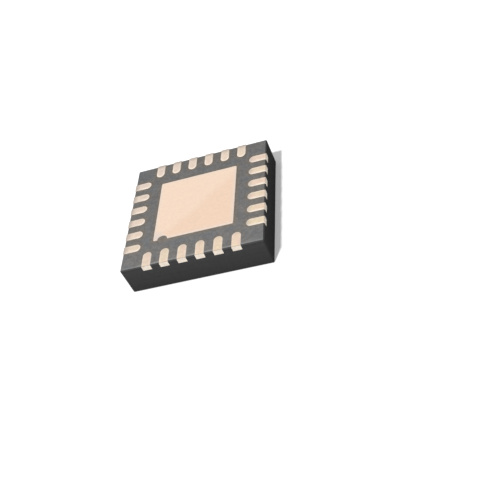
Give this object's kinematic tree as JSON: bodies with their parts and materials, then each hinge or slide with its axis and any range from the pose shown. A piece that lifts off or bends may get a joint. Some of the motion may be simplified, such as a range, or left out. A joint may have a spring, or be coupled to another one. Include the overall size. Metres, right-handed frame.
{
  "type": "integrated circuit",
  "caption": "Square quad flat no-lead chip package lying solder side up, with a bare copper thermal pad with a corner notch and a row of round-ended lands along each wall.",
  "frame": {"origin": "centre of the plain face, on the surface that the package lies on", "axes": "+Z out of the solder side, +X and +Y along the walls; terminal 1 is on the -X wall next to the -Y wall, beside the notch of the pad. The package is turned over to be soldered to a board."},
  "size_m": [0.004, 0.004, 0.0009],
  "materials": {
    "mold_compound": "matte",
    "copper": "satin",
    "adhesive": "matte",
    "silicon": "polished",
    "gold": "polished"
  },
  "bodies": {
    "root": {"mold_body": "mold_compound", "die_paddle": "copper", "die_attach": "adhesive", "silicon_die": "silicon", "terminal_1": "copper", "terminal_2": "copper", "terminal_3": "copper", "terminal_4": "copper", "terminal_5": "copper", "terminal_6": "copper", "terminal_7": "copper", "terminal_8": "copper", "terminal_9": "copper", "terminal_10": "copper", "terminal_11": "copper", "terminal_12": "copper", "terminal_13": "copper", "terminal_14": "copper", "terminal_15": "copper", "terminal_16": "copper", "terminal_17": "copper", "terminal_18": "copper", "terminal_19": "copper", "terminal_20": "copper", "terminal_21": "copper", "terminal_22": "copper", "terminal_23": "copper", "terminal_24": "copper", "bond_wire_1": "gold", "bond_wire_2": "gold", "bond_wire_3": "gold", "bond_wire_4": "gold", "bond_wire_5": "gold", "bond_wire_6": "gold", "bond_wire_7": "gold", "bond_wire_8": "gold", "bond_wire_9": "gold", "bond_wire_10": "gold", "bond_wire_11": "gold", "bond_wire_12": "gold", "bond_wire_13": "gold", "bond_wire_14": "gold", "bond_wire_15": "gold", "bond_wire_16": "gold", "bond_wire_17": "gold", "bond_wire_18": "gold", "bond_wire_19": "gold", "bond_wire_20": "gold", "bond_wire_21": "gold", "bond_wire_22": "gold", "bond_wire_23": "gold", "bond_wire_24": "gold"}
  },
  "joints": []
}
